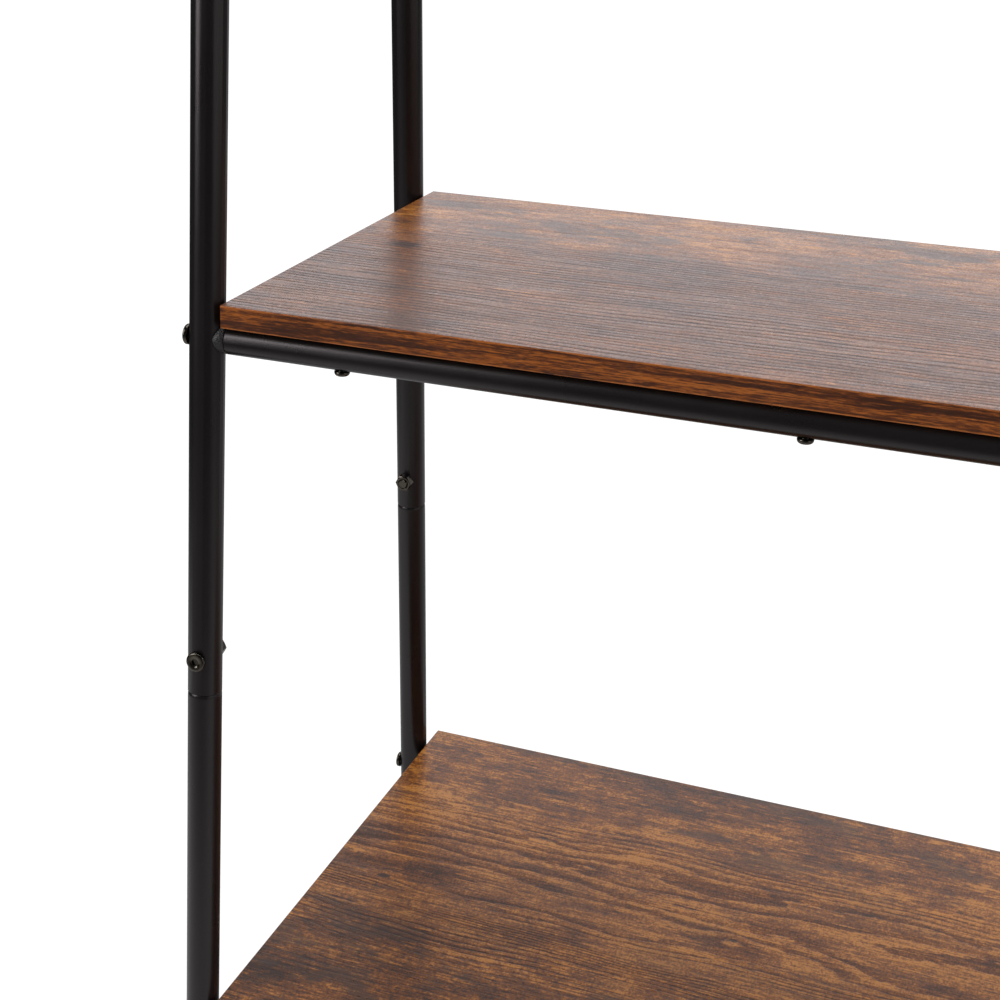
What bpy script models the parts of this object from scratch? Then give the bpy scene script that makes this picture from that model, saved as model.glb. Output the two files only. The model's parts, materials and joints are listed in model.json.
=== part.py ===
"""Clothes rack with two shelves: leaning tube side frames, bolted cross rails and laminated boards.

Units are metres, +Z is up and the front faces -Y. The origin is on the floor, under the middle of the rack.
"""

import math

import bmesh
import bpy
from mathutils import Matrix, Vector

# Overall layout
OVERALL_HEIGHT = 1.650
FRAME_SPAN = 0.812  # left to right, between the post axes
FLOOR_SPREAD = 0.454  # front to rear, between the leg axes at the floor
TOP_SPREAD = 0.2355  # the same axes, carried on up to the top bar's axis
UPPER_SHELF_TOP = 0.740
LOWER_SHELF_TOP = 0.200
SEAM_HEIGHT = 0.453  # where the upper frame slides over the leg

# Tubes
POST_DIAMETER = 0.025
POST_WALL = 0.0012
BEND_RADIUS = 0.075  # of the upper frame's top corners, at the tube's axis
SHOULDER_RADIUS = 0.0010  # rounded step from the leg to its neck, across the leg
SHOULDER_LENGTH = 0.0030  # the same step along the leg, where the tube is swaged
NECK_PAST_BOLT = 0.024
RAIL_DIAMETER = 0.020
RAIL_WALL = 0.0012
RAIL_PLUG_LENGTH = 0.018
TUBE_EDGE = 0.0006  # broken edge on cut tube ends
SADDLE_LENGTH = 0.0043  # post surface to rail end

# Boards
SHELF_THICKNESS = 0.016
UPPER_SHELF_DEPTH = 0.385
LOWER_SHELF_DEPTH = 0.465
SHELF_END_GAP = 0.0025  # post surface to board end
SHELF_EDGE_RADIUS = 0.0007
SCREW_COVER = 0.005  # board left above a screw's hole

# Fasteners
BOLT_DIAMETER = 0.008
BOLT_HEAD_DIAMETER = 0.0143
BOLT_HEAD_HEIGHT = 0.0033
BOLT_FACE_DIAMETER = 0.0114  # flat of the low domed head
BOLT_SOCKET_WIDTH = 0.005  # across flats
BOLT_BITE = 0.013  # into a rail's plug
BOLT_TAIL = 0.0015  # past a nut
JOINT_BOLT_RISE = 0.027  # seam to joint bolt
NUT_WIDTH = 0.013  # across flats
NUT_HEIGHT = 0.0065
SCREW_DIAMETER = 0.006
SCREW_HEAD_DIAMETER = 0.0105
SCREW_HEAD_HEIGHT = 0.0033
SCREW_FACE_DIAMETER = 0.0060
SCREW_SOCKET_WIDTH = 0.004
SCREW_PITCH = 0.306
SCREWS_PER_RAIL = 3
SOCKET_FLOOR = 0.0014  # head left under a socket

# Feet
FOOT_DIAMETER = 0.027
FOOT_HEIGHT = 0.008  # floor to tube end, along the leg
FOOT_EDGE = 0.0015
FOOT_PLUG_LENGTH = 0.020
FOOT_RIB_COUNT = 2
FOOT_RIB_DEPTH = 0.0012

# Clearance between touching pieces
FIT_GAP = 0.0003

# Roundness
POST_SIDES = 20
BORE_SIDES = 16  # of the bent tube and the saddles' hollows
RAIL_SIDES = 16
FOOT_SIDES = 12
FASTENER_SIDES = 10
HOLE_SIDES = 8
HEXAGON = 6
BEND_STEPS = 6
EDGE_STEPS = 2
SHARP_ANGLE = math.radians(35)
WELD_DISTANCE = 0.000005
CUT_MARGIN = 0.010  # how far a cutter runs past what it cuts

# Worked out from the above
POST_RADIUS = POST_DIAMETER / 2
POST_BORE = POST_RADIUS - POST_WALL
NECK_RADIUS = POST_BORE - FIT_GAP
RAIL_RADIUS = RAIL_DIAMETER / 2
RAIL_START = POST_RADIUS + SADDLE_LENGTH  # post axis to rail end
TOP_AXIS = OVERALL_HEIGHT - POST_RADIUS
SLOPE = (FLOOR_SPREAD - TOP_SPREAD) / 2 / TOP_AXIS
LEAN = math.atan(SLOPE)
SEAM = SEAM_HEIGHT / math.cos(LEAN)  # along the leg
JOINT_BOLT = SEAM + JOINT_BOLT_RISE
BOLT_HOLE = BOLT_DIAMETER / 2 + FIT_GAP
SCREW_HOLE = SCREW_DIAMETER / 2 + FIT_GAP
SCREW_BITE = SHELF_THICKNESS - SCREW_COVER
SHELF_LENGTH = FRAME_SPAN - POST_DIAMETER - 2 * SHELF_END_GAP
SHELVES = {
    "upper": (UPPER_SHELF_TOP, UPPER_SHELF_DEPTH),
    "lower": (LOWER_SHELF_TOP, LOWER_SHELF_DEPTH),
}
SIDES = {"left": -1, "right": 1}
ENDS = {"front": -1, "rear": 1}
X_AXIS = Vector((1, 0, 0))
Y_AXIS = Vector((0, 1, 0))
Z_AXIS = Vector((0, 0, 1))


def post_offset(height):
    """Distance of a post's axis from the middle plane at a height above the floor."""
    return FLOOR_SPREAD / 2 - SLOPE * height


def rail_height(shelf_top):
    """Height of a shelf rail's axis, with the board lying on the rail."""
    return shelf_top - SHELF_THICKNESS - FIT_GAP - RAIL_RADIUS


def placed(origin, z_axis, x_axis):
    """A placement with the given Z and X directions."""
    y_axis = z_axis.cross(x_axis)
    turn = Matrix((x_axis, y_axis, z_axis)).transposed().to_4x4()
    return Matrix.Translation(origin) @ turn


def post_direction(end):
    """Way up a post: the front and rear posts lean towards each other."""
    return Vector((0, -end * math.sin(LEAN), math.cos(LEAN)))


def post_frame(side, end):
    """A leg's own frame: Z up the leg from the floor, -Y to the outside."""
    origin = Vector((side * FRAME_SPAN / 2, end * FLOOR_SPREAD / 2, 0))
    return placed(origin, post_direction(end), -end * X_AXIS)


def screw_places():
    """Places of the shelf screws along a rail, from its middle."""
    middle = (SCREWS_PER_RAIL - 1) / 2
    return [(i - middle) * SCREW_PITCH for i in range(SCREWS_PER_RAIL)]


def scratch_object(data):
    """An object used while a shape is made."""
    obj = bpy.data.objects.new(data.name, data)
    cutters.objects.link(obj)
    obj.hide_render = True
    obj.display_type = "WIRE"
    return obj


def baked(obj, name):
    """The finished mesh of a shape. The shape and what cut it are removed."""
    bpy.context.view_layer.update()
    graph = bpy.context.evaluated_depsgraph_get()
    mesh = bpy.data.meshes.new_from_object(obj.evaluated_get(graph))
    mesh.name = name
    for used in list(cutters.objects):
        bpy.data.objects.remove(used)
    return mesh


def smoothed(mesh):
    """Round surfaces shaded smooth, with crisp edges kept."""
    mesh.shade_smooth()
    mesh.set_sharp_from_angle(angle=SHARP_ANGLE)
    return mesh


def turned(profile, sides):
    """A shape turned about Z from (radius, height) points that run down its outer side."""
    mesh = bpy.data.meshes.new("turned")
    count = len(profile)
    hollow = profile[0][0] > 0
    edges = [(i, (i + 1) % count) for i in range(count if hollow else count - 1)]
    mesh.from_pydata([(r, 0, z) for r, z in profile], edges, [])
    obj = scratch_object(mesh)
    screw = obj.modifiers.new("turn", "SCREW")
    screw.steps = sides
    screw.render_steps = sides
    screw.use_merge_vertices = True
    screw.merge_threshold = WELD_DISTANCE
    return obj


def rod(radius, length, sides, placement):
    """A round or hexagonal bar centred on its placement, with its flats at the radius."""
    corner = radius / math.cos(math.pi / sides)
    shape = bmesh.new()
    bmesh.ops.create_cone(
        shape,
        cap_ends=True,
        segments=sides,
        radius1=corner,
        radius2=corner,
        depth=length,
        matrix=placement,
    )
    mesh = bpy.data.meshes.new("rod")
    shape.to_mesh(mesh)
    shape.free()
    return scratch_object(mesh)


def block(size, placement):
    """A box centred on its placement."""
    shape = bmesh.new()
    bmesh.ops.create_cube(shape, matrix=placement @ Matrix.Diagonal((*size, 1)))
    mesh = bpy.data.meshes.new("block")
    shape.to_mesh(mesh)
    shape.free()
    return scratch_object(mesh)


def tube_along(points, radius, sides):
    """A solid round bar along a path, as a mesh with its end caps welded on."""
    curve = bpy.data.curves.new("path", "CURVE")
    curve.dimensions = "3D"
    curve.bevel_depth = radius
    curve.bevel_resolution = sides // 2 - 2
    curve.use_fill_caps = True
    spline = curve.splines.new("POLY")
    spline.points.add(len(points) - 1)
    for point, place in zip(spline.points, points):
        point.co = (*place, 1)
    path = scratch_object(curve)
    bpy.context.view_layer.update()
    graph = bpy.context.evaluated_depsgraph_get()
    mesh = bpy.data.meshes.new_from_object(path.evaluated_get(graph))
    bpy.data.objects.remove(path)
    shape = bmesh.new()
    shape.from_mesh(mesh)
    bmesh.ops.remove_doubles(shape, verts=shape.verts, dist=WELD_DISTANCE)
    bmesh.ops.recalc_face_normals(shape, faces=shape.faces)
    shape.to_mesh(mesh)
    shape.free()
    return scratch_object(mesh)


def carve(target, cutter, operation="DIFFERENCE"):
    """Cuts a shape with another one."""
    boolean = target.modifiers.new(cutter.name, "BOOLEAN")
    boolean.operation = operation
    boolean.object = cutter


def arc(centre, width, height, steps):
    """Points of a quarter-round edge in a turned profile, from its top down to its outer side."""
    angles = [math.pi / 2 * i / steps for i in range(steps + 1)]
    return [(centre[0] + width * math.sin(a), centre[1] + height * math.cos(a)) for a in angles]


def leg_mesh():
    """Lower leg: a tube with a necked, bolted end at the top and a bolt hole for the lower rail."""
    top = JOINT_BOLT + NECK_PAST_BOLT
    bottom = FOOT_HEIGHT + FIT_GAP
    neck_bore = NECK_RADIUS - POST_WALL
    step_centre = (POST_RADIUS - SHOULDER_RADIUS, SEAM - SHOULDER_LENGTH)
    step_base = SEAM - SHOULDER_LENGTH - POST_WALL
    profile = [(NECK_RADIUS, top), (NECK_RADIUS, SEAM)]
    profile += arc(step_centre, SHOULDER_RADIUS, SHOULDER_LENGTH, EDGE_STEPS)
    profile += [(POST_RADIUS, bottom), (POST_BORE, bottom), (POST_BORE, step_base - POST_WALL)]
    profile += [(neck_bore, step_base), (neck_bore, top)]
    tube = turned(profile, POST_SIDES)
    across = POST_DIAMETER + 2 * CUT_MARGIN
    joint = placed(JOINT_BOLT * Z_AXIS, Y_AXIS, X_AXIS)
    carve(tube, rod(BOLT_HOLE, across, HOLE_SIDES, joint))
    rail = placed(rail_height(LOWER_SHELF_TOP) / math.cos(LEAN) * Z_AXIS, X_AXIS, Y_AXIS)
    carve(tube, rod(BOLT_HOLE, across, HOLE_SIDES, rail))
    return smoothed(baked(tube, "leg"))


def foot_mesh():
    """Push-in foot: a ribbed plug, a flange under the tube end and a sole cut level with the floor."""
    core = POST_BORE - FIT_GAP - FOOT_RIB_DEPTH
    rim = POST_BORE - FIT_GAP
    flange = FOOT_DIAMETER / 2
    pitch = FOOT_PLUG_LENGTH / FOOT_RIB_COUNT
    profile = [(0, FOOT_HEIGHT + FOOT_PLUG_LENGTH)]
    for rib in reversed(range(FOOT_RIB_COUNT)):
        base = FOOT_HEIGHT + rib * pitch
        profile += [(core, base + pitch), (rim, base + pitch / 2)]
    profile += [(core, FOOT_HEIGHT)]
    profile += arc((flange - FOOT_EDGE, FOOT_HEIGHT - FOOT_EDGE), FOOT_EDGE, FOOT_EDGE, EDGE_STEPS)
    profile += [(flange, -FOOT_HEIGHT), (0, -FOOT_HEIGHT)]
    foot = turned(profile, FOOT_SIDES)
    depth = FOOT_HEIGHT + CUT_MARGIN
    width = FOOT_DIAMETER + 2 * CUT_MARGIN
    level = Matrix.Rotation(LEAN, 4, "X")
    under = level @ Matrix.Translation((0, 0, -depth / 2))
    carve(foot, block((width, width, depth), under))
    return smoothed(baked(foot, "foot"))


def frame_path(overrun):
    """Axis of an upper frame: up the front post, over the top bar and down the rear post."""
    up = post_direction(ENDS["front"])
    inward = Vector((0, math.cos(LEAN), -math.sin(LEAN)))
    turn = math.pi / 2 - LEAN
    corner = Vector((0, -TOP_SPREAD / 2, TOP_AXIS))
    bend_start = corner - up * BEND_RADIUS * math.tan(turn / 2)
    centre = bend_start + inward * BEND_RADIUS
    floor_point = Vector((0, -FLOOR_SPREAD / 2, 0))
    front = [floor_point + up * (SEAM + FIT_GAP - overrun)]
    for i in range(BEND_STEPS + 1):
        angle = turn * i / BEND_STEPS
        front.append(centre + BEND_RADIUS * (math.sin(angle) * up - math.cos(angle) * inward))
    rear = [Vector((p.x, -p.y, p.z)) for p in reversed(front)]
    return front + rear


def upper_frame_mesh():
    """Upper frame: one bent tube over both legs, drilled for the joint bolts and the rail bolts."""
    tube = tube_along(frame_path(0), POST_RADIUS, POST_SIDES)
    bore = POST_BORE / math.cos(math.pi / BORE_SIDES)
    carve(tube, tube_along(frame_path(CUT_MARGIN), bore, BORE_SIDES))
    across = POST_DIAMETER + 2 * CUT_MARGIN
    height = rail_height(UPPER_SHELF_TOP)
    rail_points = [Vector((0, end * post_offset(height), height)) for end in ENDS.values()]
    for point in [*rail_points, TOP_AXIS * Z_AXIS]:
        carve(tube, rod(BOLT_HOLE, across, HOLE_SIDES, placed(point, X_AXIS, Y_AXIS)))
    for end in ENDS.values():
        joint = post_frame(0, end) @ placed(JOINT_BOLT * Z_AXIS, Y_AXIS, X_AXIS)
        carve(tube, rod(BOLT_HOLE, across, HOLE_SIDES, joint))
    return smoothed(baked(tube, "upper_frame"))


def rail_mesh(name, screw_holes):
    """Cross rail: a tube with a drilled plug in each end, along Z, drilled across X for its screws."""
    half = FRAME_SPAN / 2 - RAIL_START
    bore = RAIL_RADIUS - RAIL_WALL
    plug = half - RAIL_PLUG_LENGTH
    edge = RAIL_RADIUS - TUBE_EDGE
    profile = [(BOLT_HOLE, half), (edge, half), (RAIL_RADIUS, half - TUBE_EDGE)]
    profile += [(RAIL_RADIUS, TUBE_EDGE - half), (edge, -half), (BOLT_HOLE, -half)]
    profile += [(BOLT_HOLE, -plug), (bore, -plug), (bore, plug), (BOLT_HOLE, plug)]
    tube = turned(profile, RAIL_SIDES)
    for place in screw_holes:
        across = placed(place * Z_AXIS, X_AXIS, Y_AXIS)
        carve(tube, rod(SCREW_HOLE, RAIL_DIAMETER + 2 * CUT_MARGIN, HOLE_SIDES, across))
    return smoothed(baked(tube, name))


def saddle_mesh():
    """Saddle from a post to a rail end, along Z: hollowed for a post along X, drilled for the bolt."""
    inner = SADDLE_LENGTH + POST_RADIUS - FIT_GAP
    edge = RAIL_RADIUS - TUBE_EDGE
    profile = [(0, inner), (edge, inner), (RAIL_RADIUS, inner - TUBE_EDGE), (RAIL_RADIUS, 0), (0, 0)]
    saddle = turned(profile, RAIL_SIDES)
    post = placed(Vector((0, 0, 0)), X_AXIS, Y_AXIS)
    carve(saddle, rod(POST_RADIUS + FIT_GAP, 2 * RAIL_DIAMETER, BORE_SIDES, post))
    bolt = Matrix.Translation((0, 0, inner / 2))
    carve(saddle, rod(BOLT_HOLE, inner + 2 * CUT_MARGIN, HOLE_SIDES, bolt))
    return smoothed(baked(saddle, "saddle"))


def button_mesh(name, shank_diameter, shank_length, head_diameter, face_diameter, head_height, socket_width):
    """Domed bolt with a hexagon socket: the head above Z 0, the shank below it."""
    head, face, shank = head_diameter / 2, face_diameter / 2, shank_diameter / 2
    profile = [(0, head_height)]
    profile += arc((face, 0), head - face, head_height, EDGE_STEPS)
    profile += [(shank, 0), (shank, -shank_length), (0, -shank_length)]
    bolt = turned(profile, FASTENER_SIDES)
    length = head_height - SOCKET_FLOOR + CUT_MARGIN
    place = Matrix.Translation((0, 0, SOCKET_FLOOR + length / 2))
    carve(bolt, rod(socket_width / 2, length, HEXAGON, place))
    return smoothed(baked(bolt, name))


def nut_mesh():
    """Hexagon nut with chamfered corners, standing on Z 0."""
    corner = NUT_WIDTH / 2 / math.cos(math.pi / HEXAGON)
    chamfer = corner - NUT_WIDTH / 2
    middle = Matrix.Translation((0, 0, NUT_HEIGHT / 2))
    nut = rod(NUT_WIDTH / 2, NUT_HEIGHT, HEXAGON, middle)
    over = NUT_HEIGHT + chamfer
    cone = [(0, over), (NUT_WIDTH / 2 - chamfer, over), (corner + chamfer, NUT_HEIGHT - chamfer)]
    cone += [(corner + chamfer, -chamfer), (0, -chamfer)]
    carve(nut, turned(cone, FASTENER_SIDES), "INTERSECT")
    carve(nut, rod(BOLT_HOLE, NUT_HEIGHT + 2 * CUT_MARGIN, HOLE_SIDES, middle))
    return smoothed(baked(nut, "nut"))


def shelf_mesh(name, depth, rail_offset):
    """Board with softened edges and blind screw holes in its underside, its front over the front rail."""
    front = -rail_offset - RAIL_RADIUS
    size = (SHELF_LENGTH, depth, SHELF_THICKNESS)
    board = block(size, Matrix.Translation((0, front + depth / 2, SHELF_THICKNESS / 2)))
    bevel = board.modifiers.new("edges", "BEVEL")
    bevel.width = SHELF_EDGE_RADIUS
    bevel.segments = EDGE_STEPS
    hole_depth = SCREW_BITE + FIT_GAP + CUT_MARGIN
    hole_middle = SCREW_BITE + FIT_GAP - hole_depth / 2
    for end in ENDS.values():
        for place in screw_places():
            at = Matrix.Translation((place, end * rail_offset, hole_middle))
            carve(board, rod(SCREW_HOLE, hole_depth, HOLE_SIDES, at))
    return smoothed(baked(board, name))


def surface(name, colour, roughness, metallic):
    """A finish seen on the rack."""
    material = bpy.data.materials.new(name)
    material.use_nodes = True
    shader = material.node_tree.nodes["Principled BSDF"]
    shader.inputs["Base Color"].default_value = (*colour, 1)
    shader.inputs["Roughness"].default_value = roughness
    shader.inputs["Metallic"].default_value = metallic
    return material


def add_part(name, mesh, material, placement):
    """Puts one piece of the rack in its place."""
    obj = bpy.data.objects.new(name, mesh)
    if not mesh.materials:
        mesh.materials.append(material)
    parts.objects.link(obj)
    obj.parent = rack
    obj.matrix_local = placement


def add_legs():
    """Legs with their feet and the bolts and nuts of their sleeve joints."""
    leg, foot, nut = leg_mesh(), foot_mesh(), nut_mesh()
    joint_shank = POST_DIAMETER + 2 * FIT_GAP + NUT_HEIGHT + BOLT_TAIL
    bolt = button_mesh(
        "joint_bolt",
        BOLT_DIAMETER,
        joint_shank,
        BOLT_HEAD_DIAMETER,
        BOLT_FACE_DIAMETER,
        BOLT_HEAD_HEIGHT,
        BOLT_SOCKET_WIDTH,
    )
    reach = POST_RADIUS + FIT_GAP
    for side_name, side in SIDES.items():
        for end_name, end in ENDS.items():
            at = post_frame(side, end)
            name = f"{side_name}_{end_name}"
            add_part(f"{name}_leg", leg, powder_coat, at)
            add_part(f"{name}_foot", foot, plastic, at)
            head_seat = Vector((0, -reach, JOINT_BOLT))
            nut_seat = Vector((0, reach, JOINT_BOLT))
            add_part(f"{name}_joint_bolt", bolt, dark_nickel, at @ placed(head_seat, -Y_AXIS, X_AXIS))
            add_part(f"{name}_joint_nut", nut, dark_nickel, at @ placed(nut_seat, Y_AXIS, Z_AXIS))


def add_upper_frames():
    """The two bent upper frames."""
    frame = upper_frame_mesh()
    for side_name, side in SIDES.items():
        at = Matrix.Translation((side * FRAME_SPAN / 2, 0, 0))
        add_part(f"{side_name}_upper_frame", frame, powder_coat, at)


def add_rails():
    """Shelf rails and hanging rail, with a saddle and a bolt at each end."""
    shelf_rail = rail_mesh("shelf_rail", screw_places())
    hanging_rail = rail_mesh("hanging_rail", [])
    saddle = saddle_mesh()
    bolt = button_mesh(
        "rail_bolt",
        BOLT_DIAMETER,
        POST_DIAMETER + FIT_GAP + SADDLE_LENGTH + BOLT_BITE,
        BOLT_HEAD_DIAMETER,
        BOLT_FACE_DIAMETER,
        BOLT_HEAD_HEIGHT,
        BOLT_SOCKET_WIDTH,
    )
    rails = [("hanging_rail", hanging_rail, Vector((0, 0, TOP_AXIS)), Y_AXIS)]
    for shelf_name, (shelf_top, _) in SHELVES.items():
        height = rail_height(shelf_top)
        for end_name, end in ENDS.items():
            middle = Vector((0, end * post_offset(height), height))
            rails.append((f"{shelf_name}_{end_name}_rail", shelf_rail, middle, post_direction(end)))
    for name, rail, middle, post_axis in rails:
        add_part(name, rail, powder_coat, placed(middle, X_AXIS, Z_AXIS))
        for side_name, side in SIDES.items():
            outward = side * X_AXIS
            post_point = middle + outward * FRAME_SPAN / 2
            head_seat = post_point + outward * (POST_RADIUS + FIT_GAP)
            saddle_place = placed(post_point, -outward, post_axis)
            add_part(f"{name}_{side_name}_saddle", saddle, plastic, saddle_place)
            add_part(f"{name}_{side_name}_bolt", bolt, dark_nickel, placed(head_seat, outward, Z_AXIS))


def add_shelves():
    """Boards and the screws that hold them to their rails."""
    screw = button_mesh(
        "shelf_screw",
        SCREW_DIAMETER,
        RAIL_DIAMETER + 2 * FIT_GAP + SCREW_BITE,
        SCREW_HEAD_DIAMETER,
        SCREW_FACE_DIAMETER,
        SCREW_HEAD_HEIGHT,
        SCREW_SOCKET_WIDTH,
    )
    for shelf_name, (shelf_top, depth) in SHELVES.items():
        height = rail_height(shelf_top)
        offset = post_offset(height)
        board = shelf_mesh(f"{shelf_name}_shelf", depth, offset)
        underside = shelf_top - SHELF_THICKNESS
        add_part(f"{shelf_name}_shelf", board, wood_board, Matrix.Translation((0, 0, underside)))
        head_seat = height - RAIL_RADIUS - FIT_GAP
        for end_name, end in ENDS.items():
            for number, place in enumerate(screw_places(), 1):
                seat = Vector((place, end * offset, head_seat))
                name = f"{shelf_name}_{end_name}_screw_{number}"
                add_part(name, screw, dark_nickel, placed(seat, -Z_AXIS, X_AXIS))


for old in list(bpy.data.objects):
    bpy.data.objects.remove(old)
parts = bpy.data.collections.new("clothes_rack")
cutters = bpy.data.collections.new("clothes_rack_cutters")
for collection in (parts, cutters):
    bpy.context.scene.collection.children.link(collection)
rack = bpy.data.objects.new("clothes_rack_origin", None)
parts.objects.link(rack)
powder_coat = surface("black_powder_coat", (0.020, 0.018, 0.019), 0.45, 0.0)
plastic = surface("black_moulded_fitting", (0.024, 0.022, 0.023), 0.50, 0.0)
dark_nickel = surface("dark_nickel", (0.10, 0.09, 0.08), 0.28, 1.0)
wood_board = surface("rustic_brown_board", (0.20, 0.085, 0.035), 0.35, 0.0)
add_legs()
add_upper_frames()
add_rails()
add_shelves()
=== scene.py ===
"""Looks of the clothes rack: its finishes, finer fittings, soft studio light and the photograph's camera.

Units are metres. +Z is up, the rails run along X and the front faces -Y.
"""

import json
import math
from collections import namedtuple

import bmesh
import bpy
import numpy as np
from mathutils import Matrix, Vector

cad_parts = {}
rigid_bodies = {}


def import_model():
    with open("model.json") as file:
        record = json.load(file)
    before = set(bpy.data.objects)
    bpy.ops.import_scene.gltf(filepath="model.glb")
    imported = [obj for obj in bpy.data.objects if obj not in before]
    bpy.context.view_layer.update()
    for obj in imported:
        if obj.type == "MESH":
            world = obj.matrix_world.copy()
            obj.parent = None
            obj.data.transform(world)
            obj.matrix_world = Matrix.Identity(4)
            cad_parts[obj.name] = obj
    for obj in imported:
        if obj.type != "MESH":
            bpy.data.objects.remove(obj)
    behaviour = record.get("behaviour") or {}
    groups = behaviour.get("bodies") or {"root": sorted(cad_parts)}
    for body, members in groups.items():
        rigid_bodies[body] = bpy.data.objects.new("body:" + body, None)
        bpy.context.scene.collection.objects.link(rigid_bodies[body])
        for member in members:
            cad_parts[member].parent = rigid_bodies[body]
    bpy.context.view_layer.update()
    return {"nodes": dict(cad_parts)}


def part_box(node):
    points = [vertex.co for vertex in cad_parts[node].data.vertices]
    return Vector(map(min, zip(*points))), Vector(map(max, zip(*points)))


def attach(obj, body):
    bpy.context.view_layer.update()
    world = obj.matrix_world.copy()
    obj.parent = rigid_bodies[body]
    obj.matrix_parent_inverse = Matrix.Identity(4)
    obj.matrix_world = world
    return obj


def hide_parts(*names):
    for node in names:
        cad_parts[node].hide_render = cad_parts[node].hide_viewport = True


# A layer of noise: cells a metre along each axis, detail, roughness, warp, and its weight in a sum
Layer = namedtuple("Layer", "cells detail roughness warp weight", defaults=(0.5, 0.0, 1.0))
# The middle of a layer's noise, and the range that most of it fills
NOISE_MIDDLE = 0.5
NOISE_SPREAD = (0.3, 0.7)
# Spots of a layer: none where its noise is at start, full where it is at end
Spots = namedtuple("Spots", "layer start end")
# The head of a bolt or screw: flat is the radius of its flat top, socket is measured across flats
Head = namedtuple("Head", "height radius flat rim_height socket shank")

# Camera, solved from the photograph's straight edges
PICTURE_SIZE = 1000
FOCAL_LENGTH_PX = 1836.15
OPTICAL_AXIS_X = 403.72
SENSOR_MM = 36
CAMERA_PLACE = (0.1682, -1.2340, 1.0806)
CAMERA_TURN = math.radians(22.127)
CAMERA_DIP = math.radians(22.079)
CAMERA_ROLL = math.radians(0.952)

# Lamps: place, width and height, radiance, and whether the gloss shows them
LAMP_AIM = Vector((-0.1, 0, 0.7))
LAMPS = {
    "key_softbox": ((-2.1, -1.9, 1.9), (1.05, 2.4), 5.8, True),
    "fill_panel": ((2.9, -0.5, 1.2), (4.0, 2.0), 0.6, True),
    "top_softbox": ((0.0, 0.4, 3.2), (2.0, 1.8), 4.1, True),
    "front_wash": ((0.3, -2.4, 1.7), (2.0, 1.6), 3.2, False),
    "side_wash": ((2.2, -1.0, 1.2), (1.6, 1.4), 6.0, False),
}

# World: brightness by direction, 1 being white
WHITE = (1, 1, 1)
HORIZON_LEVEL = 0.2
BACKDROP_LEVEL = 2.36
BACKDROP_TINT = (0.94, 0.94, 1.0)
CEILING_LEVEL = 0.45
ROOM_LEVEL = 0.06
# Where it changes, in parts of a unit direction: the first three along Z, then along Y and along X
BACKDROP_RISE = (0.10, 0.31)
BACKDROP_FALL = (0.34, 0.54)
TINT_RISE = (0.20, 0.28)
REAR_RISE = (0.35, 0.85)
LEFT_RISE = (-0.80, -0.55)

# Floor: its tint in bounced light, then what the camera sees, a shade that takes shadows and a glow that
# turns white with the distance
FLOOR_SIZE = 40
FLOOR_TINT = (0.8, 0.8, 0.8)
FLOOR_SHADE = (0.25, 0.25, 0.25)
FLOOR_GLOW = 0.86
GLOW_REACH = (1.0, 3.0)
# Its brightness in the gloss: where along Y or X it starts and stops rising, and by how much it rises. A
# strip under the rack's front is brighter, and the paper ends on both sides.
FRONT_GAIN = (-2.5, -0.3, 0.32)
REAR_GAIN = (0.0, 1.5, 0.10)
LEFT_GAIN = (0.0, -1.2, 0.12)
STRIP_GAIN = (-1.3, -0.5, 0.26)
STRIP_END = (0.3, -0.3)
PAPER_EDGE = (1.2, 2.2)

# Smooth shading, and the digits to which the points of a solid are told apart
CREASE_ANGLE = math.radians(50)
WELD_DISTANCE = 0.00001
POINT_DIGITS = 6

# Fasteners
SIDES = 36
HEXAGON_TURN = math.pi / 3
SOCKET_FLOOR = 0.0014
RIM_EDGE = 0.0003
MOUTH_DEPTH = 0.0004
MOUTH_LEDGE = 0.0001
DOME_STEPS = 8
THREAD_PITCH = 0.00125
THREAD_DEPTH = 0.0006
THREAD_LENGTH = 0.010
NUT_WIDTH = 0.013
NUT_HEIGHT = 0.0065
NUT_BORE = 0.0041
NUT_CHAMFER = math.radians(30)
BOLT_HEAD = Head(height=0.0033, radius=0.00715, flat=0.0057, rim_height=0.0022, socket=0.005, shank=0.004)
SCREW_HEAD = Head(height=0.0033, radius=0.00525, flat=0.0032, rim_height=0.0011, socket=0.004, shank=0.003)
HEADS = {"joint_bolt": BOLT_HEAD, "rail_bolt": BOLT_HEAD, "shelf_screw": SCREW_HEAD}

# Saddles
SADDLE_RADIUS = 0.0100
SADDLE_REACH = 0.0165
SADDLE_HOLLOW = 0.0128
SADDLE_BORE = 0.0043
SADDLE_LIP = 0.0012
SADDLE_EDGE = 0.0006
HOLLOW_STEPS = 4
LIP_STEPS = 4

# Finishes of tubes, fittings and fasteners: dark and light colour, roughness from low to high, and the
# strength and depth of the relief
COAT_COLOURS = ((0.0026, 0.0021, 0.0022), (0.0040, 0.0033, 0.0035))
COAT_GLOSS_TINT = (1.0, 0.90, 0.92)
COAT_ROUGHNESS = (0.26, 0.32)
COAT_CLOUD = Layer((14, 14, 9), 3)
COAT_PEEL = Layer((900, 900, 900), 2)
COAT_SPECKS = Spots(Layer((900, 900, 900), 1, weight=1.5), 0.70, 0.76)
COAT_RELIEF = (0.12, 0.0002)
FITTING_COLOURS = ((0.005, 0.004, 0.004), (0.010, 0.009, 0.009))
FITTING_ROUGHNESS = (0.16, 0.30)
FITTING_SKIN = Layer((1000, 1000, 1000), 2, roughness=0.6)
FITTING_RELIEF = (0.9, 0.0007)
NICKEL_COLOURS = ((0.045, 0.039, 0.033), (0.135, 0.119, 0.098))
NICKEL_ROUGHNESS = (0.13, 0.26)
NICKEL_STAIN = Layer((420, 420, 420), 3)
NICKEL_RELIEF = (0.06, 0.0001)

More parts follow.
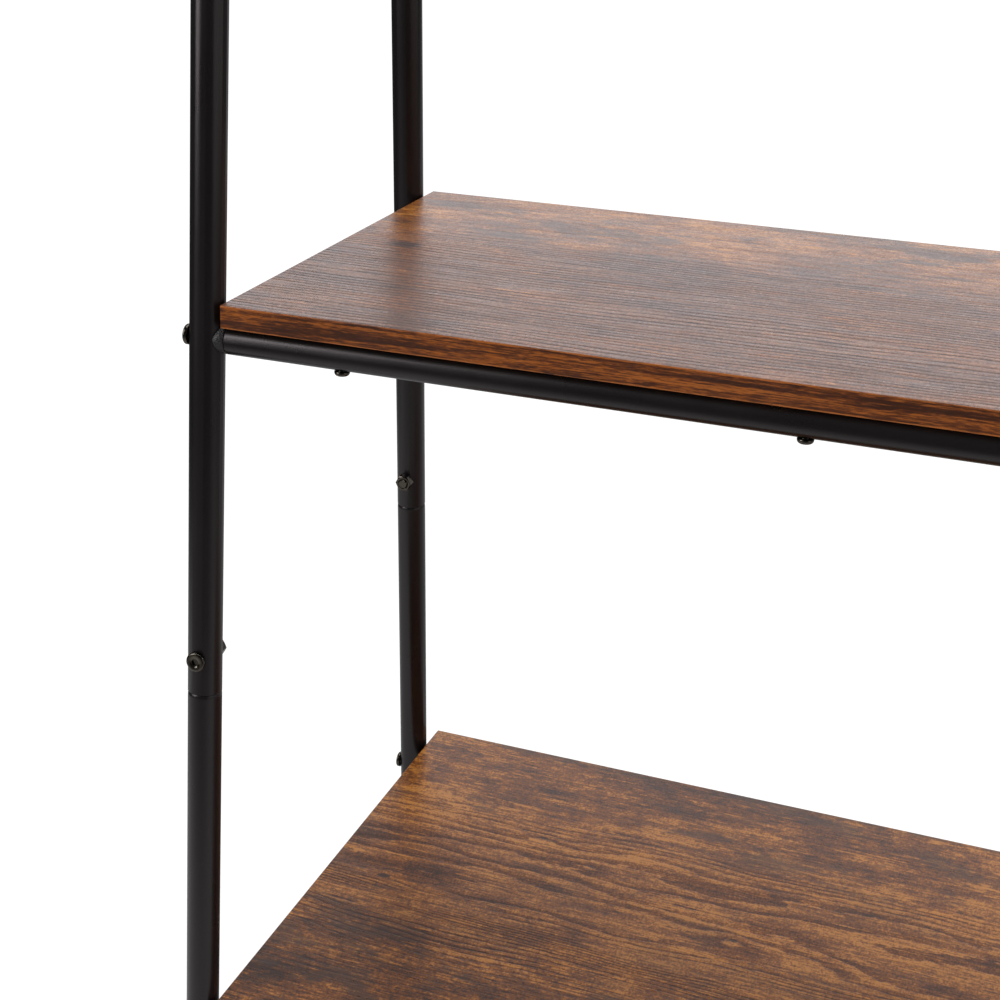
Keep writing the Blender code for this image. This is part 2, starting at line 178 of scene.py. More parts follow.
# Boards: tones from dark to light, and the charcoal of the burnt patches
BOARD_TONES = [
    (0.00, (0.032, 0.010, 0.004)),
    (0.25, (0.085, 0.026, 0.007)),
    (0.50, (0.145, 0.045, 0.009)),
    (0.75, (0.240, 0.080, 0.013)),
    (1.00, (0.440, 0.178, 0.034)),
]
CHARCOAL = (0.046, 0.022, 0.014)
EDGE_TONES = [
    (0.00, (0.027, 0.007, 0.002)),
    (0.45, (0.085, 0.020, 0.002)),
    (1.00, (0.215, 0.058, 0.005)),
]
# How the grain changes from the rear edge, 0, to the front edge, 1: the share of the growth lines passed,
# where in its ring a line sets in, how dark it is, how mottled and burnt the print is, how light, 0.5 being
# the middle tone, and how far the lines flare into flames. breaks has the cells a metre of the gaps in the
# lines, wander says how far the lines stray, and contrast how far the tones do. patch is where in the
# endless pattern the board is cut. A knot is given from the left and rear edges, with its radius.
LOWER_GRAIN = {
    "lines": 50.0,
    "passed": [(0.0, 0.0), (0.24, 0.10), (0.32, 0.17), (0.48, 0.21), (0.65, 0.52), (1.0, 1.0)],
    "onset": [(0.0, 0.4), (0.28, 0.35), (0.34, 0.10), (0.46, 0.10), (0.56, 0.4), (1.0, 0.4)],
    "strength": [
        (0.0, 0.1), (0.22, 0.2), (0.28, 0.7), (0.48, 0.8), (0.64, 0.85), (0.76, 0.35), (1.0, 0.3),
    ],
    "mottle": [(0.0, 0.95), (0.22, 0.8), (0.30, 0.35), (0.6, 0.35), (0.72, 0.9), (1.0, 1.0)],
    # Lighter than the upper board's print, partly a painted lightening that makes up for the upper shelf's
    # shade
    "light": [
        (0.0, 0.56), (0.15, 0.64), (0.25, 0.76), (0.45, 0.87), (0.60, 0.79), (0.75, 0.56), (1.0, 0.54),
    ],
    "flame": [(0.0, 0.1), (0.24, 0.3), (0.33, 1.0), (0.46, 1.0), (0.56, 0.2), (1.0, 0.1)],
    "breaks": (7, 45, 1),
    "wander": 1.0,
    "contrast": 1.0,
    "patch": (3.1, 7.7, 0.4),
    "knots": [
        (0.156, 0.142, 0.003), (0.208, 0.168, 0.003), (0.050, 0.252, 0.004), (0.344, 0.224, 0.003),
    ],
}
UPPER_GRAIN = {
    "lines": 48.0,
    "passed": [(0.0, 0.0), (0.33, 0.13), (0.45, 0.28), (1.0, 1.0)],
    "onset": [(0.0, 0.4), (1.0, 0.4)],
    "strength": [(0.0, 0.1), (0.30, 0.2), (0.42, 0.55), (1.0, 0.62)],
    "mottle": [(0.0, 1.0), (0.33, 1.0), (0.45, 0.4), (1.0, 0.35)],
    "light": [(0.0, 0.66), (0.28, 0.60), (0.42, 0.44), (1.0, 0.43)],
    "flame": [(0.0, 0.2), (0.33, 0.1), (0.45, 0.0), (1.0, 0.0)],
    "breaks": (12, 130, 1),
    "wander": 0.4,
    "contrast": 0.7,
    "patch": (8.3, 1.9, 0.4),
    "knots": [(0.050, 0.180, 0.011), (0.170, 0.100, 0.004)],
}
ZONE_DRIFT = Layer((3, 8, 1), 2, weight=0.10)

# Growth lines: what bends them, in rings, and where in its ring a line is darkest and drops off
LINE_SWEEP = Layer((2.2, 6, 1), 2, weight=3.0)
LINE_WANDER = Layer((16, 60, 1), 2)
LINE_TREMOR = Layer((90, 500, 1), 2, weight=0.35)
LINE_FLAME = Layer((4, 16, 1), 2, weight=5.0)
LINE_PEAK = 0.9
LINE_DROP = (1.0, 0.93)
BREAK_DETAIL = 2
BREAK_SPAN = (0.28, 0.52)
LINE_TONE = -0.6
# Knots: how much distance along the grain counts, how many radii away and how much they bend the lines, and
# their dark core as a share of the radius
KNOT_DRAW = 0.6
KNOT_PULL_REACH = 5
KNOT_PULL = 0.5
KNOT_CORE = 0.3
KNOT_TONE = -0.7

# Print between the lines: layers all over, layers of the mottled zones, and spots
PRINT_LAYERS = {
    "cloud": Layer((4, 10, 1), 2, weight=0.9),
    "streak": Layer((6, 40, 1), 3, roughness=0.55, weight=0.8),
    "fibre": Layer((18, 420, 1), 3, roughness=0.6, weight=1.0),
    "hair": Layer((60, 1500, 1), 2, weight=0.6),
    "cross_grain": Layer((420, 60, 1), 2, weight=0.12),
    "speckle": Layer((240, 500, 1), 2, roughness=0.6, weight=0.8),
    "grit": Layer((700, 350, 1), 1, weight=0.9),
}
MOTTLE_LAYERS = {
    "blotch": Layer((20, 38, 1), 8, roughness=0.72, weight=2.4),
    "shred": Layer((110, 260, 1), 4, roughness=0.7, weight=1.2),
}
PRINT_SPOTS = {
    "pale_fleck": Spots(Layer((26, 500, 1), 2, weight=0.45), 0.60, 0.72),
    "pale_patch": Spots(Layer((28, 75, 1), 3, roughness=0.6, weight=0.4), 0.62, 0.75),
    "pale_dash": Spots(Layer((45, 400, 1), 1, weight=0.08), 0.42, 0.34),
    "pit": Spots(Layer((45, 400, 1), 1, weight=-0.1), 0.56, 0.66),
    "pore": Spots(Layer((130, 900, 1), 1, weight=-0.3), 0.60, 0.70),
    "speck": Spots(Layer((330, 520, 1), 1, weight=-0.3), 0.66, 0.76),
}
BURNT_PATCHES = Spots(Layer((9, 20, 1), 8, roughness=0.74, weight=0.75), 0.50, 0.60)

# Edge band: streaks and dark dashes, and the distances from the board's faces between which the band turns
# paler, partly its own rim colour and partly a painted highlight of the rounded edge, and gives way to the
# print
EDGE_LAYERS = [
    Layer((5, 1, 280), 2, warp=0.4),
    Layer((13, 1, 620), 2, warp=0.3, weight=0.7),
    Layer((150, 1, 1500), 2, warp=0.6, weight=0.9),
]
EDGE_DASHES = Spots(Layer((30, 1, 850), 1, warp=0.3, weight=-0.25), 0.56, 0.68)
EDGE_RIM_HIGHLIGHT = (0.0016, 0.0006)
EDGE_RIM_HIGHLIGHT_TONE = 0.25
EDGE_SPREAD = (0.25, 0.82)
FACE_RIM = (0.00015, 0.00003)

# Relief and roughness of the boards' faces: the lines and pits are sunk and matt, and pale grit shines
BOARD_RELIEF = (1.0, 0.00012)
FIBRE_RELIEF = 0.2
LINE_RELIEF = -1.0
PIT_RELIEF = -0.12
BOARD_ROUGHNESS = (0.28, 0.36)
LINE_ROUGHNESS = 0.24
PIT_ROUGHNESS = 0.03
GRIT_ROUGHNESS = -0.16


class Nodes:
    """A node tree, with short calls for the nodes used here."""

    def __init__(self, tree):
        self.tree = tree

    def put(self, socket, value):
        """Sets a socket, or links it to another node's output."""
        if isinstance(value, bpy.types.NodeSocket):
            self.tree.links.new(value, socket)
        elif socket.type == "RGBA" and len(value) == 3:
            socket.default_value = (*value, 1)
        else:
            socket.default_value = value

    def add(self, kind, inputs, **settings):
        """A new node, with its settings and its inputs by name or number."""
        node = self.tree.nodes.new("ShaderNode" + kind)
        for name, value in settings.items():
            setattr(node, name, value)
        for name, value in inputs.items():
            self.put(node.inputs[name], value)
        return node

    def split(self, vector):
        """The three parts of a vector."""
        return self.add("SeparateXYZ", {0: vector}).outputs

    def length(self, vector):
        """The length of a vector."""
        return self.add("VectorMath", {0: vector}, operation="LENGTH").outputs["Value"]

    def stretch(self, vector, scale, offset=(0, 0, 0)):
        """A vector scaled along each axis, then moved."""
        node = self.add("VectorMath", {0: vector, 1: scale, 2: offset}, operation="MULTIPLY_ADD")
        return node.outputs[0]

    def math(self, operation, a, b=0.0, c=0.0):
        """One arithmetic step."""
        return self.add("Math", {0: a, 1: b, 2: c}, operation=operation).outputs[0]

    def times(self, first, *others):
        """The product of several values."""
        for other in others:
            first = self.math("MULTIPLY", first, other)
        return first

    def plus(self, total, value, weight, middle=0.0):
        """A total with a weighted value added, counted from its middle."""
        part = self.math("MULTIPLY_ADD", value, weight, -middle * weight)
        return self.math("ADD", total, part)

    def fade(self, value, start, end, low=0.0, high=1.0):
        """A smooth step from low at start to high at end."""
        inputs = {"Value": value, "From Min": start, "From Max": end, "To Min": low, "To Max": high}
        return self.add("MapRange", inputs, interpolation_type="SMOOTHSTEP").outputs[0]

    def gain(self, value, start, end, amount):
        """A smooth rise from nothing at start to an amount at end."""
        return self.fade(value, start, end, 0.0, amount)

    def curve(self, value, points):
        """A smooth curve through points, looked up along a value from 0 to 1."""
        node = self.add("FloatCurve", {"Value": value})
        line = node.mapping.curves[0]
        while len(line.points) < len(points):
            line.points.new(0.5, 0.5)
        for point, place in zip(line.points, points):
            point.location = place
        node.mapping.update()
        return node.outputs[0]

    def noise(self, vector, layer):
        """Cloudy noise from 0 to 1."""
        inputs = {
            "Vector": self.stretch(vector, layer.cells),
            "Scale": 1.0,
            "Detail": layer.detail,
            "Roughness": layer.roughness,
            "Distortion": layer.warp,
        }
        return self.add("TexNoise", inputs).outputs[0]

    def spots(self, vector, spots):
        """Spots from 0 to 1, where a layer of noise is high or low."""
        return self.fade(self.noise(vector, spots.layer), spots.start, spots.end)

    def mix(self, share, a, b):
        """Two colours mixed by a share from 0 to 1."""
        return self.add("Mix", {0: share, 6: a, 7: b}, data_type="RGBA").outputs[2]

    def ramp(self, value, stops):
        """A colour looked up along a value."""
        node = self.add("ValToRGB", {0: value})
        elements = node.color_ramp.elements
        while len(elements) < len(stops):
            elements.new(1.0)
        for element, (position, colour) in zip(elements, stops):
            element.position = position
            element.color = (*colour, 1)
        return node.outputs[0]


class Finish(Nodes):
    """The node tree of a new material."""

    def __init__(self, name):
        self.material = bpy.data.materials.new(name)
        self.material.use_nodes = True
        super().__init__(self.material.node_tree)
        self.shader = self.tree.nodes["Principled BSDF"]

    def set(self, **inputs):
        """Inputs of the surface shader, with _ for spaces."""
        for name, value in inputs.items():
            self.put(self.shader.inputs[name.replace("_", " ")], value)

    def place(self):
        """The point on the piece, in its own frame."""
        return self.add("TexCoord", {}).outputs["Object"]

    def bump(self, height, strength, depth):
        """Fine relief on the surface, depth in metres."""
        node = self.add("Bump", {"Strength": strength, "Distance": depth, "Height": height})
        self.set(Normal=node.outputs[0])


def powder_coat():
    """Satin black powder coat on the tubes, with a fine orange peel and a few raised specks."""
    coat = Finish("black_powder_coat")
    point = coat.place()
    cloud = coat.noise(point, COAT_CLOUD)
    coat.set(
        Base_Color=coat.mix(cloud, *COAT_COLOURS),
        Roughness=coat.fade(cloud, *NOISE_SPREAD, *COAT_ROUGHNESS),
        Specular_Tint=COAT_GLOSS_TINT,
    )
    peel = coat.noise(point, COAT_PEEL)
    specks = coat.spots(point, COAT_SPECKS)
    coat.bump(coat.plus(peel, specks, COAT_SPECKS.layer.weight), *COAT_RELIEF)
    return coat.material


def moulded_fitting():
    """Black moulded saddles and feet, with a rough-cast skin."""
    fitting = Finish("black_moulded_fitting")
    skin = fitting.noise(fitting.place(), FITTING_SKIN)
    fitting.set(
        Base_Color=fitting.mix(skin, *FITTING_COLOURS),
        Roughness=fitting.fade(skin, *NOISE_SPREAD, *FITTING_ROUGHNESS),
    )
    fitting.bump(skin, *FITTING_RELIEF)
    return fitting.material


def black_nickel():
    """Dark plated steel of the bolts, nuts and screws."""
    plating = Finish("black_nickel")
    stain = plating.noise(plating.place(), NICKEL_STAIN)
    plating.set(
        Base_Color=plating.mix(stain, *NICKEL_COLOURS),
        Roughness=plating.fade(stain, *NOISE_SPREAD, *NICKEL_ROUGHNESS),
        Metallic=1.0,
    )
    plating.bump(stain, *NICKEL_RELIEF)
    return plating.material


def growth_lines(board, grain, left, rear, point, cut, zone):
    """Growth lines, a soft rise to dark and a sharp drop, broken in places, and the knots in them."""
    flame = board.curve(zone, grain["flame"])
    phase = board.times(board.curve(zone, grain["passed"]), grain["lines"])
    phase = board.plus(phase, board.noise(cut, LINE_SWEEP), LINE_SWEEP.weight)
    phase = board.plus(phase, board.noise(cut, LINE_WANDER), LINE_WANDER.weight * grain["wander"])
    phase = board.plus(phase, board.noise(cut, LINE_TREMOR), LINE_TREMOR.weight * grain["wander"])
    phase = board.plus(phase, board.times(board.noise(cut, LINE_FLAME), flame), LINE_FLAME.weight)
    knots = 0.0
    for along, across, radius in grain["knots"]:
        to_knot = (-KNOT_DRAW * (left + along), across - rear, 0)
        reach = board.length(board.stretch(point, (KNOT_DRAW, 1, 0), to_knot))
        phase = board.plus(phase, board.fade(reach, KNOT_PULL_REACH * radius, 0), KNOT_PULL)
        knots = board.math("MAXIMUM", knots, board.fade(reach, radius, KNOT_CORE * radius))
    ring = board.math("FRACT", phase)
    rise = board.fade(ring, board.curve(zone, grain["onset"]), LINE_PEAK)
    whole = board.spots(cut, Spots(Layer(grain["breaks"], BREAK_DETAIL), *BREAK_SPAN))
    whole = board.math("MAXIMUM", whole, flame)
    strength = board.curve(zone, grain["strength"])
    return board.times(rise, board.fade(ring, *LINE_DROP), whole, strength), knots


def edge_colour(board, grain, point, below_face):
    """Streaks that run round the board's edge band."""
    x, y, z = board.split(point)
    along = board.math("ADD", x, y)
    band = board.add("CombineXYZ", {0: along, 1: grain["patch"][2], 2: z}).outputs[0]
    streak = NOISE_MIDDLE
    for layer in EDGE_LAYERS:
        streak = board.plus(streak, board.noise(band, layer), layer.weight, NOISE_MIDDLE)
    streak = board.plus(streak, board.spots(band, EDGE_DASHES), EDGE_DASHES.layer.weight)
    # Paler rim near the faces: partly the band's own colour, partly a painted highlight of the rounded edge
    streak = board.plus(streak, board.fade(below_face, *EDGE_RIM_HIGHLIGHT), EDGE_RIM_HIGHLIGHT_TONE)
    return board.ramp(board.fade(streak, *EDGE_SPREAD), EDGE_TONES)


def rustic_board(name, node, grain):
    """Rustic brown laminate with its grain along X, burnt patches, pin knots and a streaked edge band."""
    board = Finish(name)
    low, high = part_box(node)
    depth = high[1] - low[1]
    point = board.place()
    _, y, z = board.split(point)
    cut = board.stretch(point, (1, 1, 0), grain["patch"])
    zone = board.math("MULTIPLY_ADD", y, -1 / depth, high[1] / depth)
    zone = board.plus(zone, board.noise(cut, ZONE_DRIFT), ZONE_DRIFT.weight, NOISE_MIDDLE)
    off_middle = board.math("ABSOLUTE", board.math("SUBTRACT", z, (low[2] + high[2]) / 2))
    below_face = board.math("SUBTRACT", (high[2] - low[2]) / 2, off_middle)
    face = board.fade(below_face, *FACE_RIM)

    # Colour of the print
    line, knots = growth_lines(board, grain, low[0], high[1], point, cut, zone)
    mottle = board.curve(zone, grain["mottle"])
    layers = {kind: board.noise(cut, layer) for kind, layer in PRINT_LAYERS.items()}
    spots = {kind: board.spots(cut, shape) for kind, shape in PRINT_SPOTS.items()}
    shade = 0.0
    for kind, layer in PRINT_LAYERS.items():
        shade = board.plus(shade, layers[kind], layer.weight, NOISE_MIDDLE)
    for layer in MOTTLE_LAYERS.values():
        patch = board.plus(0.0, board.noise(cut, layer), layer.weight, NOISE_MIDDLE)
        shade = board.math("MULTIPLY_ADD", patch, mottle, shade)
    for kind, shape in PRINT_SPOTS.items():
        shade = board.plus(shade, spots[kind], shape.layer.weight)
    tone = board.plus(board.curve(zone, grain["light"]), shade, grain["contrast"])
    tone = board.plus(tone, line, LINE_TONE * grain["contrast"])
    tone = board.plus(tone, knots, KNOT_TONE)
    burnt = board.times(board.spots(cut, BURNT_PATCHES), BURNT_PATCHES.layer.weight, mottle)
    colour = board.mix(burnt, board.ramp(tone, BOARD_TONES), CHARCOAL)
    colour = board.mix(face, edge_colour(board, grain, point, below_face), colour)

    # Gloss and relief
    matt = board.plus(board.times(line, LINE_ROUGHNESS), spots["pit"], PIT_ROUGHNESS)
    matt = board.plus(matt, layers["grit"], GRIT_ROUGHNESS, NOISE_MIDDLE)
    satin = board.fade(layers["fibre"], *NOISE_SPREAD, *BOARD_ROUGHNESS)
    board.set(Base_Color=colour, Roughness=board.math("MULTIPLY_ADD", matt, face, satin))
    relief = board.plus(board.times(layers["fibre"], FIBRE_RELIEF), line, LINE_RELIEF)
    relief = board.times(board.plus(relief, spots["pit"], PIT_RELIEF), face)
    board.bump(relief, *BOARD_RELIEF)
    return board.material


def ring_angles():
    """The angles of a ring's corners."""
    return [math.tau * i / SIDES for i in range(SIDES)]


def round_ring(radius, height):
    """A round ring of a lofted shape."""
    return [(radius, height)] * SIDES


def hexagon_ring(width, height):
    """A hexagon ring, its width across flats."""
    ring = []
    for angle in ring_angles():
        off_flat = angle % HEXAGON_TURN - HEXAGON_TURN / 2
        ring.append((width / 2 / math.cos(off_flat), height))
    return ring


def lofted(name, rings, closed=False):
    """A shape about Z through rings of (radius, height), from the inside of its top to its underside."""
    shape = bmesh.new()
    loops = []
    for ring in rings:
        corners = [(r * math.cos(a), r * math.sin(a), z) for a, (r, z) in zip(ring_angles(), ring)]
        loops.append([shape.verts.new(corner) for corner in corners])
    pairs = list(zip(loops, loops[1:]))
    if closed:
        pairs.append((loops[-1], loops[0]))
    for upper, lower in pairs:
        for i in range(SIDES):
            shape.faces.new((upper[i - 1], lower[i - 1], lower[i], upper[i]))
    bmesh.ops.remove_doubles(shape, verts=shape.verts, dist=WELD_DISTANCE)
    bmesh.ops.recalc_face_normals(shape, faces=shape.faces)
    mesh = bpy.data.meshes.new(name)
    shape.to_mesh(mesh)
    shape.free()
    mesh.shade_smooth()
    mesh.set_sharp_from_angle(angle=CREASE_ANGLE)
    return mesh


def button_bolt(name, head, length):
    """A domed bolt, head above Z 0: a rim, a chamfered socket mouth, a hexagon socket and a grooved tip."""
    mouth = head.height - MOUTH_DEPTH
    mouth_radius = head.socket / 2 / math.cos(HEXAGON_TURN / 2) + MOUTH_LEDGE
    rings = [round_ring(0, SOCKET_FLOOR)]
    rings += [hexagon_ring(head.socket, SOCKET_FLOOR), hexagon_ring(head.socket, mouth)]
    rings += [round_ring(mouth_radius, mouth), round_ring(mouth_radius + MOUTH_DEPTH, head.height)]
    dome = head.height - head.rim_height
    for i in range(DOME_STEPS + 1):
        angle = math.pi / 2 * i / DOME_STEPS
        radius = head.flat + (head.radius - head.flat) * math.sin(angle)
        rings.append(round_ring(radius, head.rim_height + dome * math.cos(angle)))
    rings += [round_ring(head.radius, RIM_EDGE), round_ring(head.radius - RIM_EDGE, 0)]
    groove = THREAD_LENGTH - length
    rings += [round_ring(head.shank, 0), round_ring(head.shank, groove)]
    while groove - THREAD_PITCH > -length:
        rings.append(round_ring(head.shank - THREAD_DEPTH, groove - THREAD_PITCH / 2))
        rings.append(round_ring(head.shank, groove - THREAD_PITCH))
        groove -= THREAD_PITCH
    rings += [round_ring(head.shank - THREAD_DEPTH, -length), round_ring(0, -length)]
    return lofted(name, rings)


def hexagon_nut():
    """A nut standing on Z 0, its corners turned off at the top and its bore broken at both ends."""
    turned = NUT_WIDTH / 2 - MOUTH_DEPTH
    corners = hexagon_ring(NUT_WIDTH, NUT_HEIGHT)
    crest = [(r, z - (r - turned) * math.tan(NUT_CHAMFER)) for r, z in corners]
    wide_bore = NUT_BORE + MOUTH_DEPTH
    rings = [round_ring(NUT_BORE, NUT_HEIGHT - MOUTH_DEPTH), round_ring(wide_bore, NUT_HEIGHT)]
    rings += [round_ring(turned, NUT_HEIGHT), crest, hexagon_ring(NUT_WIDTH, 0)]
    rings += [round_ring(wide_bore, 0), round_ring(NUT_BORE, MOUTH_DEPTH)]
    return lofted("hexagon_nut", rings, closed=True)


def hollow_ring(radius, lift):
    """A ring that follows a saddle's hollow round the post, whose axis lies along X, lifted off it."""
    ring = []
    for angle in ring_angles():
        height = math.sqrt(SADDLE_HOLLOW**2 - (radius * math.sin(angle)) ** 2)
        ring.append((radius, height + lift))
    return ring


def saddle():
    """A saddle from a post's axis at Z 0 to a rail's end: hollowed, bored, with a rounded lip."""
    inner = SADDLE_RADIUS - SADDLE_LIP
    rings = []
    for i in range(HOLLOW_STEPS):
        rings.append(hollow_ring(SADDLE_BORE + (inner - SADDLE_BORE) * i / HOLLOW_STEPS, 0))
    for i in range(LIP_STEPS + 1):
        angle = math.pi / 2 * i / LIP_STEPS
        radius = inner + SADDLE_LIP * math.sin(angle)
        rings.append(hollow_ring(radius, SADDLE_LIP * (1 - math.cos(angle))))
    rings.append(round_ring(SADDLE_RADIUS, SADDLE_REACH - SADDLE_EDGE))
    rings.append(round_ring(SADDLE_RADIUS - SADDLE_EDGE, SADDLE_REACH))
    rings.append(round_ring(SADDLE_BORE, SADDLE_REACH))
    return lofted("saddle", rings, closed=True)


def long_axis(obj):
    """Points, middle and long axis of a slender solid."""
    points = np.unique(np.round([v.co[:] for v in obj.data.vertices], POINT_DIGITS), axis=0)
    middle = points.mean(axis=0)
    return points, middle, np.linalg.svd(points - middle)[2][0]


def bolt_axis(obj):
    """Tip, head top and outward direction of a bolt, from its solid."""
    points, middle, axis = long_axis(obj)
    along = (points - middle) @ axis
    spread = np.linalg.norm(points - middle - np.outer(along, axis), axis=1)
    if along[spread.argmax()] < 0:
        axis, along = -axis, -along
    return Vector(middle + along.min() * axis), Vector(middle + along.max() * axis), Vector(axis)


def seat(mesh, node, place, turn, finish):
    """Puts a fine piece in the place of its node."""
    piece = bpy.data.objects.new(node + "_fine", mesh)
    piece.location = place
    piece.rotation_mode = "QUATERNION"
    piece.rotation_quaternion = turn
    if not mesh.materials:
        mesh.materials.append(finish)
    bpy.context.collection.objects.link(piece)
    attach(piece, "root")
    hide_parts(node)


def fastener_kind(name):
    """The kind of bolt or screw that a node is, or None."""
    if name.endswith("_joint_bolt"):
        return "joint_bolt"
    if name.endswith("_bolt"):
        return "rail_bolt"
    return "shelf_screw" if "_screw_" in name else None


def add_fasteners(nodes, finish):
    """Fine bolts, screws and nuts in the places of the solids."""
    meshes = {}
    nut = hexagon_nut()
    for name, obj in nodes.items():
        kind = fastener_kind(name)
        if kind is None:
            continue
        head = HEADS[kind]
        tip, top, axis = bolt_axis(obj)
        if kind not in meshes:
            meshes[kind] = button_bolt(kind, head, (top - tip).length - head.height)
        turn = axis.to_track_quat("Z", "Y")
        seat(meshes[kind], name, top - head.height * axis, turn, finish)
        if kind == "joint_bolt":
            nut_name = name.replace("_joint_bolt", "_joint_nut")
            corners = [Vector(v.co) for v in nodes[nut_name].data.vertices]
            nut_base = top + axis * max((c - top) @ axis for c in corners)
            turn = (-axis).to_track_quat("Z", "Y")
            seat(nut, nut_name, nut_base, turn, finish)


def add_saddles(nodes, finish):
    """Fine saddles in the places of the solids, each hollowed along its post or along the top bar."""
    mesh = saddle()
    for name in nodes:
        if not name.endswith("_saddle"):
            continue
        low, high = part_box(name)
        side, inward, flat_end = ("left", 1, high[0]) if low[0] < 0 else ("right", -1, low[0])
        post = Vector((0, 1, 0))
        for end in ("front", "rear"):
            if end in name:
                post = Vector(long_axis(nodes[f"{side}_{end}_leg"])[2])
        across = Vector((inward, 0, 0))
        turn = Matrix((post, across.cross(post), across)).transposed().to_quaternion()
        place = (flat_end - inward * SADDLE_REACH, (low[1] + high[1]) / 2, (low[2] + high[2]) / 2)
        seat(mesh, name, place, turn, finish)


def smooth(obj):
    """Round surfaces shaded smooth, with crisp edges and flat faces kept."""
    mesh = obj.data
    facet_normals = mesh.attributes.get("custom_normal")
    if facet_normals:
        mesh.attributes.remove(facet_normals)
    mesh.shade_smooth()
    weld = obj.modifiers.new("weld", "WELD")
    weld.merge_threshold = WELD_DISTANCE
    crease = obj.modifiers.new("crease", "EDGE_SPLIT")
    crease.split_angle = CREASE_ANGLE
    crease.use_edge_sharp = False
    obj.modifiers.new("flat_faces", "WEIGHTED_NORMAL")


def dress(nodes, finishes):
    """Gives every piece its finish, by its name or the ending of its name."""
    for name, obj in nodes.items():
        ending = name.rstrip("_0123456789").rsplit("_", 1)[-1]
        smooth(obj)
        obj.data.materials.clear()
        obj.data.materials.append(finishes.get(name) or finishes[ending])


def add_camera():
    """The photograph's camera. Its optical axis lies left of the middle, which the shift makes up."""
    data = bpy.data.cameras.new("camera")
    data.sensor_width = SENSOR_MM
    data.lens = FOCAL_LENGTH_PX / PICTURE_SIZE * SENSOR_MM
    data.shift_x = 0.5 - OPTICAL_AXIS_X / PICTURE_SIZE
    camera = bpy.data.objects.new("camera", data)
    turn = Matrix.Rotation(CAMERA_TURN, 4, "Z")
    dip = Matrix.Rotation(math.pi / 2 - CAMERA_DIP, 4, "X")
    roll = Matrix.Rotation(CAMERA_ROLL, 4, "Z")
    camera.matrix_world = Matrix.Translation(CAMERA_PLACE) @ turn @ dip @ roll
    bpy.context.collection.objects.link(camera)
    bpy.context.scene.camera = camera


def add_lamp(name, place, size, radiance, mirrored):
    """A softbox that faces the rack, seen in its gloss or not."""
    data = bpy.data.lights.new(name, "AREA")
    data.shape = "RECTANGLE"
    data.size, data.size_y = size
    data.energy = radiance * math.pi * size[0] * size[1]
    lamp = bpy.data.objects.new(name, data)
    lamp.location = place
    lamp.rotation_euler = (LAMP_AIM - lamp.location).to_track_quat("-Z", "Y").to_euler()
    lamp.visible_camera = False
    lamp.visible_glossy = mirrored
    bpy.context.collection.objects.link(lamp)


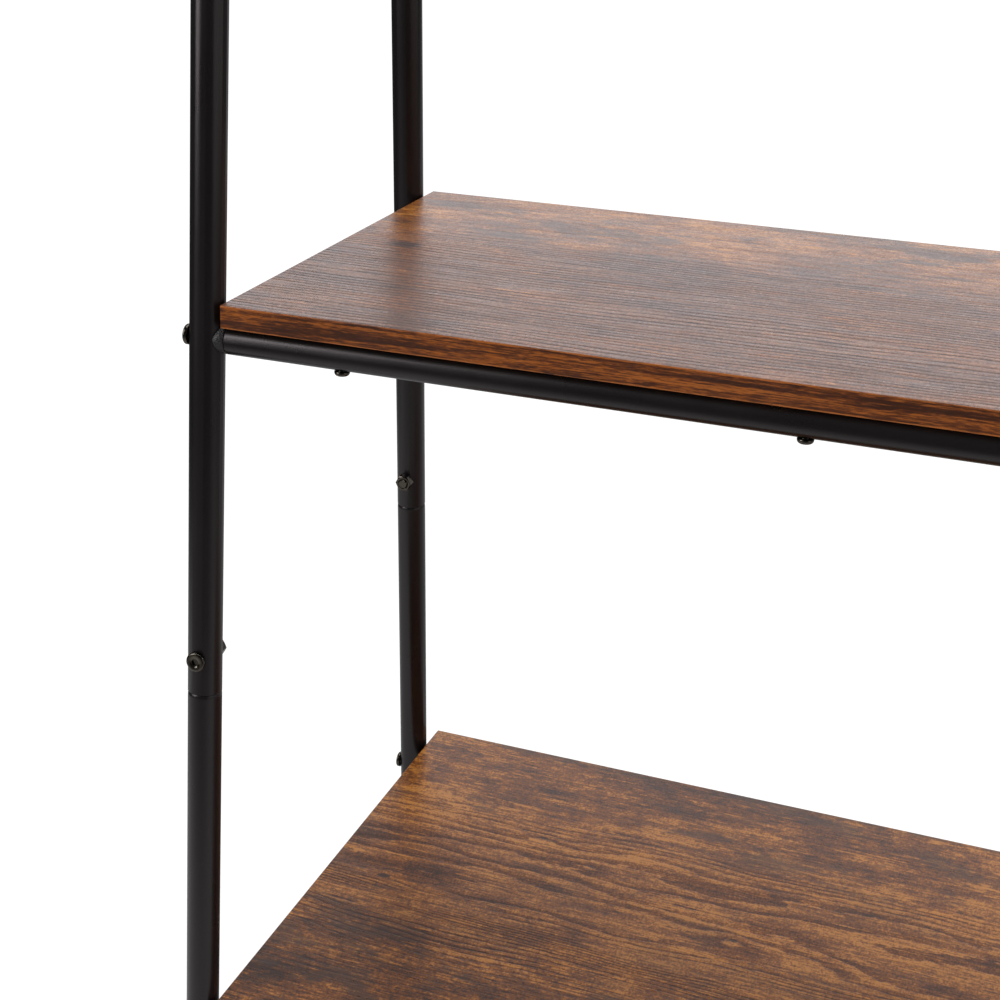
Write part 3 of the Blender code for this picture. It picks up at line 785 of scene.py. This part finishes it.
def add_floor():
    """White floor that keeps a faint shadow of the rack. The gloss sees it as paper in a dim room."""
    bpy.ops.mesh.primitive_plane_add(size=FLOOR_SIZE)
    floor = bpy.context.object
    floor.name = "floor"
    paint = Finish("white_floor")
    point = paint.place()
    x, y, _ = paint.split(point)
    path = paint.add("LightPath", {}).outputs

    # What the gloss sees
    level = paint.times(paint.gain(y, *STRIP_GAIN), paint.fade(y, *STRIP_END))
    for axis, gain in ((y, FRONT_GAIN), (y, REAR_GAIN), (x, LEFT_GAIN)):
        level = paint.math("ADD", level, paint.gain(axis, *gain))
    paper = paint.fade(paint.math("ABSOLUTE", x), *PAPER_EDGE, 1.0, 0.0)
    level = paint.math("MULTIPLY_ADD", level, paper, ROOM_LEVEL)
    image = paint.add("Emission", {"Color": WHITE, "Strength": level}).outputs[0]

    # What the camera sees
    shade = paint.add("BsdfDiffuse", {"Color": FLOOR_SHADE}).outputs[0]
    strength = paint.fade(paint.length(point), *GLOW_REACH, FLOOR_GLOW, 1.0)
    glow = paint.add("Emission", {"Color": WHITE, "Strength": strength}).outputs[0]
    lit = paint.add("AddShader", {0: shade, 1: glow}).outputs[0]

    mirrored = paint.math("MAXIMUM", path["Is Glossy Ray"], path["Is Transmission Ray"])
    bounce = paint.add("BsdfDiffuse", {"Color": FLOOR_TINT}).outputs[0]
    unseen = paint.add("MixShader", {0: mirrored, 1: bounce, 2: image}).outputs[0]
    choice = paint.add("MixShader", {0: path["Is Camera Ray"], 1: unseen, 2: lit}).outputs[0]
    paint.put(paint.tree.nodes["Material Output"].inputs["Surface"], choice)
    floor.data.materials.append(paint.material)


def add_world():
    """A backdrop behind the rack, dimmer above, and a dark room in front. The camera sees it white."""
    world = bpy.data.worlds.new("studio")
    world.use_nodes = True
    sky = Nodes(world.node_tree)
    x, y, z = sky.split(sky.add("TexCoord", {}).outputs["Generated"])
    camera_ray = sky.add("LightPath", {}).outputs["Is Camera Ray"]
    backdrop = sky.fade(z, *BACKDROP_RISE, HORIZON_LEVEL, BACKDROP_LEVEL)
    backdrop = sky.fade(z, *BACKDROP_FALL, backdrop, CEILING_LEVEL)
    level = sky.fade(y, *REAR_RISE, ROOM_LEVEL, backdrop)
    level = sky.fade(x, *LEFT_RISE, ROOM_LEVEL, level)
    plain = sky.fade(z, *TINT_RISE, 1.0, camera_ray)
    plain = sky.fade(z, *BACKDROP_FALL, plain, 1.0)
    background = world.node_tree.nodes["Background"]
    sky.put(background.inputs["Strength"], sky.math("MAXIMUM", camera_ray, level))
    sky.put(background.inputs["Color"], sky.mix(plain, BACKDROP_TINT, WHITE))
    bpy.context.scene.world = world


for old in list(bpy.data.objects):
    bpy.data.objects.remove(old)
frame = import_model()
coat = powder_coat()
nickel = black_nickel()
fitting = moulded_fitting()
dress(
    frame["nodes"],
    {
        "frame": coat,
        "leg": coat,
        "rail": coat,
        "foot": fitting,
        "saddle": fitting,
        "bolt": nickel,
        "nut": nickel,
        "screw": nickel,
        "upper_shelf": rustic_board("upper_board", "upper_shelf", UPPER_GRAIN),
        "lower_shelf": rustic_board("lower_board", "lower_shelf", LOWER_GRAIN),
    },
)
add_fasteners(frame["nodes"], nickel)
add_saddles(frame["nodes"], fitting)
add_camera()
add_floor()
add_world()
for lamp_name, lamp in LAMPS.items():
    add_lamp(lamp_name, *lamp)
bpy.context.scene.view_settings.view_transform = "Standard"
